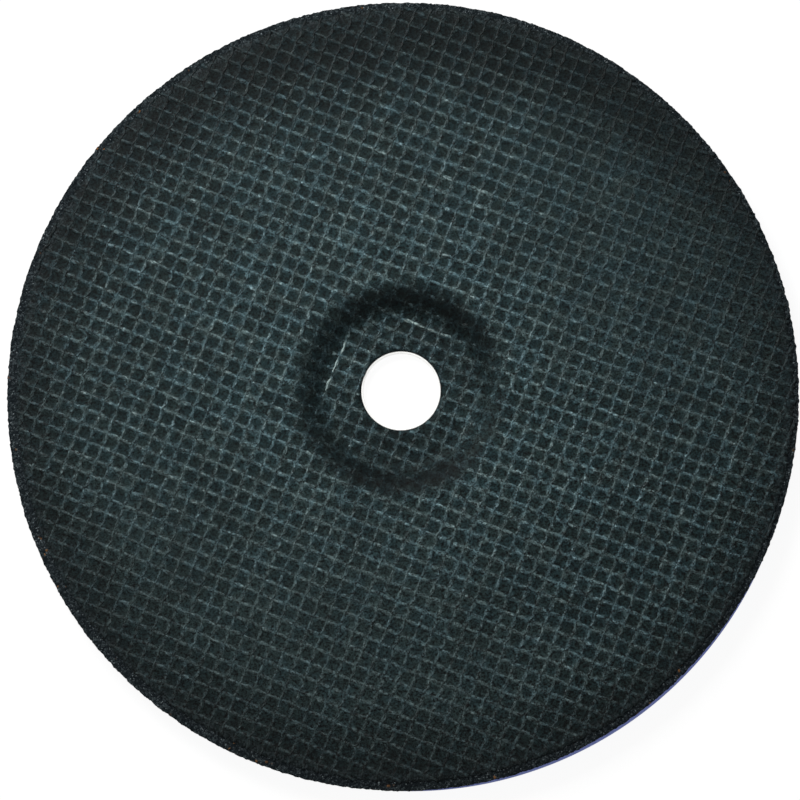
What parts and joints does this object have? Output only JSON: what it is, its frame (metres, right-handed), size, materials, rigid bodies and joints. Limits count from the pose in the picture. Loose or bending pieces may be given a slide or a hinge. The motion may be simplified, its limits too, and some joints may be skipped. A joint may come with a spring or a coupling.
{
  "type": "cut off wheel",
  "caption": "Thin round cut-off wheel with a depressed centre: pressed abrasive disc faced with woven glass fabric, paper-backed, with a steel ring in its bore.",
  "frame": {"origin": "on the bore axis, at the outer face of the ring's flange, on which the wheel rests", "axes": "+Z along the bore axis, out of the recessed working face; +X to the right and +Y to the top of the picture"},
  "size_m": [0.23, 0.2301, 0.0086],
  "materials": {
    "abrasive": "gritty resin-bonded abrasive grain, matt",
    "glass_fabric": "woven glass threads coated with dark resin, satin",
    "label_paper": "plain coated paper, embossed by the disc behind it",
    "ring_steel": "bright pressed sheet steel"
  },
  "bodies": {
    "root": {"abrasive_body": "abrasive", "glass_fabric": "glass_fabric", "paper_label": "label_paper", "bore_ring": "ring_steel"}
  },
  "joints": []
}
